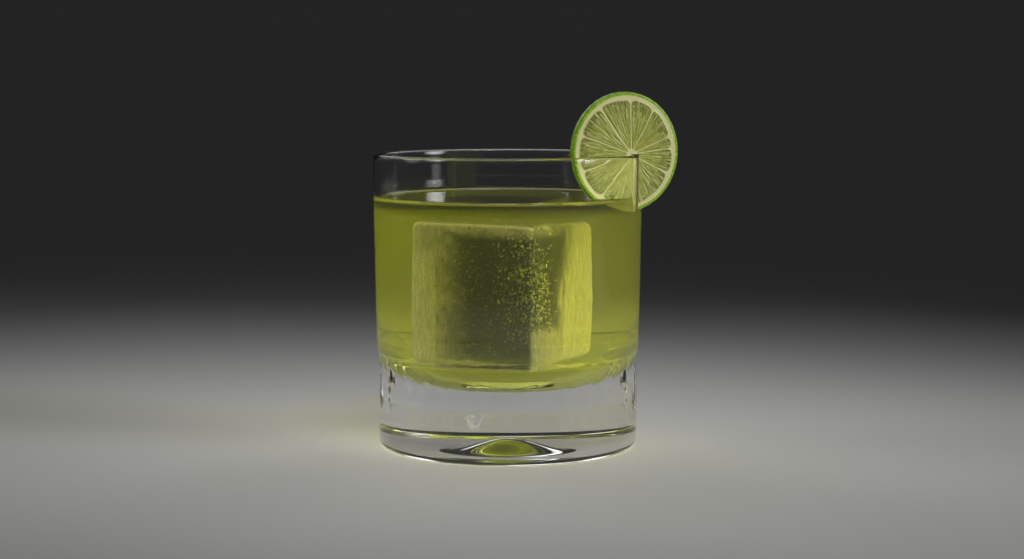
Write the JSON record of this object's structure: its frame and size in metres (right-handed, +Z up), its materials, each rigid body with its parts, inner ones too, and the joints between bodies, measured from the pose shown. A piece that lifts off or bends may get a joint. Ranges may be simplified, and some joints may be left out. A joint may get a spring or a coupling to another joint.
{
  "type": "cocktail in a rocks glass",
  "caption": "Short rocks glass with a heavy faceted base, filled with a cloudy yellow-green drink over a large block of ice, with a lime wheel hung on its rim.",
  "frame": {"origin": "on the table, under the middle of the whole object's box", "axes": "+Z up along the glass's axis, -Y towards the side that faces the viewer, +X towards the side where the lime wheel hangs"},
  "size_m": [0.0989, 0.088, 0.1162],
  "materials": {
    "clear_glass": "polished",
    "drink": "gloss",
    "lime": "satin"
  },
  "bodies": {
    "root": {"glass": "clear_glass", "drink": "drink", "lime_wheel": "lime"}
  },
  "joints": []
}
